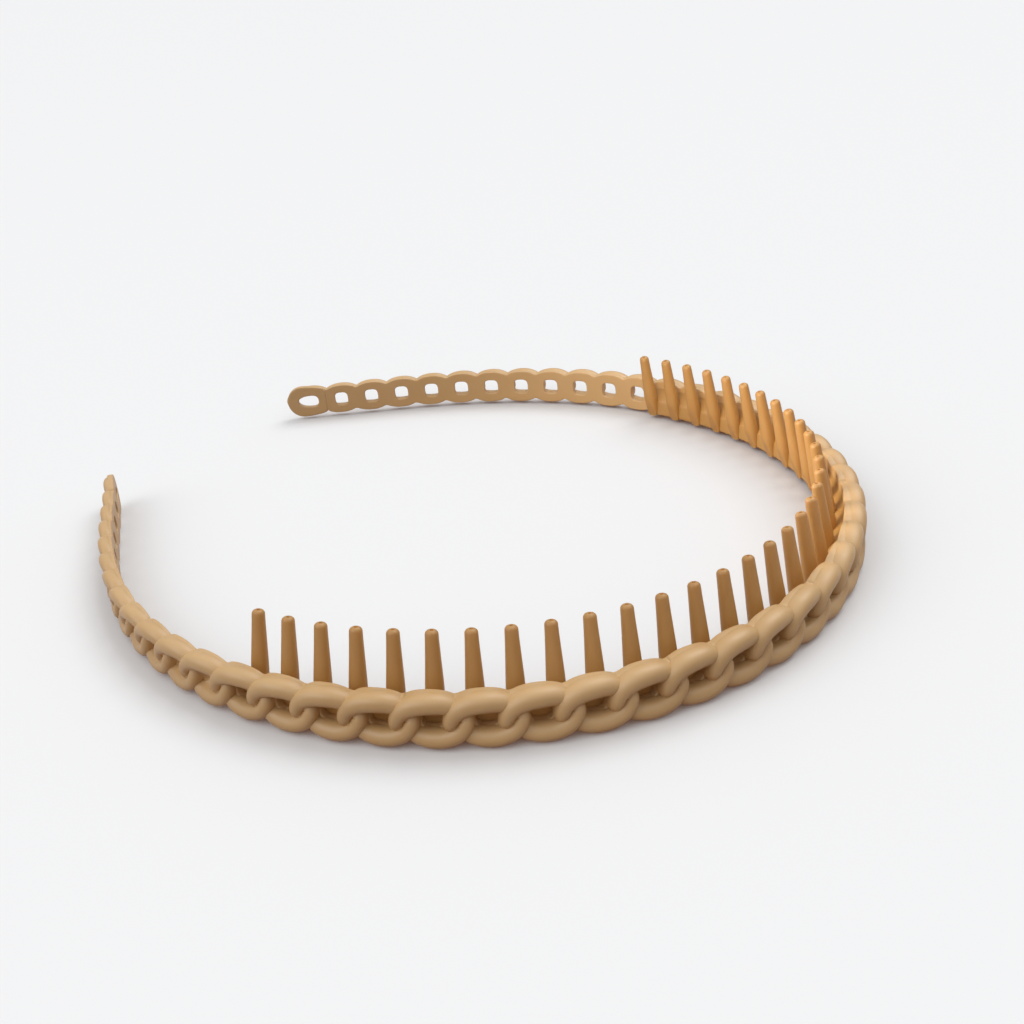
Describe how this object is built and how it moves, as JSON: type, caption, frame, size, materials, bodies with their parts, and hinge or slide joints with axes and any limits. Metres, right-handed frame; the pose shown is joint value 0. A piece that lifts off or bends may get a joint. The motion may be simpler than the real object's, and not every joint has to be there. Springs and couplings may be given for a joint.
{
  "type": "headband",
  "caption": "Springy horseshoe hair band with curb-chain relief outside and a comb of leaning teeth inside the crown; the arms spread open to go over a head.",
  "frame": {"origin": "middle of the band's bounding box, on its underside, with the band lying on its lower edge", "axes": "+Z across the band's width towards the tips of the comb teeth; the crown is at -Y and the arm tips are at +Y; X runs from the left arm to the right arm"},
  "size_m": [0.1322, 0.147, 0.0153],
  "materials": {
    "chain_plastic": "satin-matt tan moulded plastic",
    "comb_plastic": "satin-matt tan moulded plastic, thin and slightly translucent"
  },
  "bodies": {
    "crown": {"crown_links": "chain_plastic", "crown_comb_strip": "comb_plastic", "crown_comb_teeth": "comb_plastic"},
    "left_shoulder": {"left_shoulder_links": "chain_plastic", "left_shoulder_comb_strip": "comb_plastic", "left_shoulder_comb_teeth": "comb_plastic"},
    "left_side": {"left_side_links": "chain_plastic", "left_side_comb_strip": "comb_plastic", "left_side_comb_teeth": "comb_plastic"},
    "left_arm": {"left_arm_links": "chain_plastic", "left_end_link": "chain_plastic"},
    "right_shoulder": {"right_shoulder_links": "chain_plastic", "right_shoulder_comb_strip": "comb_plastic", "right_shoulder_comb_teeth": "comb_plastic"},
    "right_side": {"right_side_links": "chain_plastic", "right_side_comb_strip": "comb_plastic", "right_side_comb_teeth": "comb_plastic"},
    "right_arm": {"right_arm_links": "chain_plastic", "right_end_link": "chain_plastic"}
  },
  "joints": [
    {"name": "left_crown_flex", "type": "hinge", "parent": "crown", "child": "left_shoulder", "pos_m": [-0.01938, -0.07055, 0.00436], "axis": [0, 0, 1], "range_deg": [0, 8], "stiffness_Nm_per_rad": 1.5},
    {"name": "left_side_flex", "type": "hinge", "parent": "left_shoulder", "child": "left_side", "pos_m": [-0.04593, -0.05431, 0.00436], "axis": [0, 0, 1], "range_deg": [0, 8], "stiffness_Nm_per_rad": 1.3},
    {"name": "left_arm_flex", "type": "hinge", "parent": "left_side", "child": "left_arm", "pos_m": [-0.06608, -0.00504, 0.00436], "axis": [0, 0, 1], "range_deg": [0, 8], "stiffness_Nm_per_rad": 0.9},
    {"name": "right_crown_flex", "type": "hinge", "parent": "crown", "child": "right_shoulder", "pos_m": [0.01938, -0.07055, 0.00436], "axis": [0, 0, -1], "range_deg": [0, 8], "stiffness_Nm_per_rad": 1.5},
    {"name": "right_side_flex", "type": "hinge", "parent": "right_shoulder", "child": "right_side", "pos_m": [0.04593, -0.05431, 0.00436], "axis": [0, 0, -1], "range_deg": [0, 8], "stiffness_Nm_per_rad": 1.3},
    {"name": "right_arm_flex", "type": "hinge", "parent": "right_side", "child": "right_arm", "pos_m": [0.06608, -0.00504, 0.00436], "axis": [0, 0, -1], "range_deg": [0, 8], "stiffness_Nm_per_rad": 0.9}
  ],
  "couplings": [
    {"joint": "left_side_flex", "follows": "left_crown_flex", "ratio": 1},
    {"joint": "left_arm_flex", "follows": "left_crown_flex", "ratio": 1},
    {"joint": "right_side_flex", "follows": "right_crown_flex", "ratio": 1},
    {"joint": "right_arm_flex", "follows": "right_crown_flex", "ratio": 1}
  ]
}
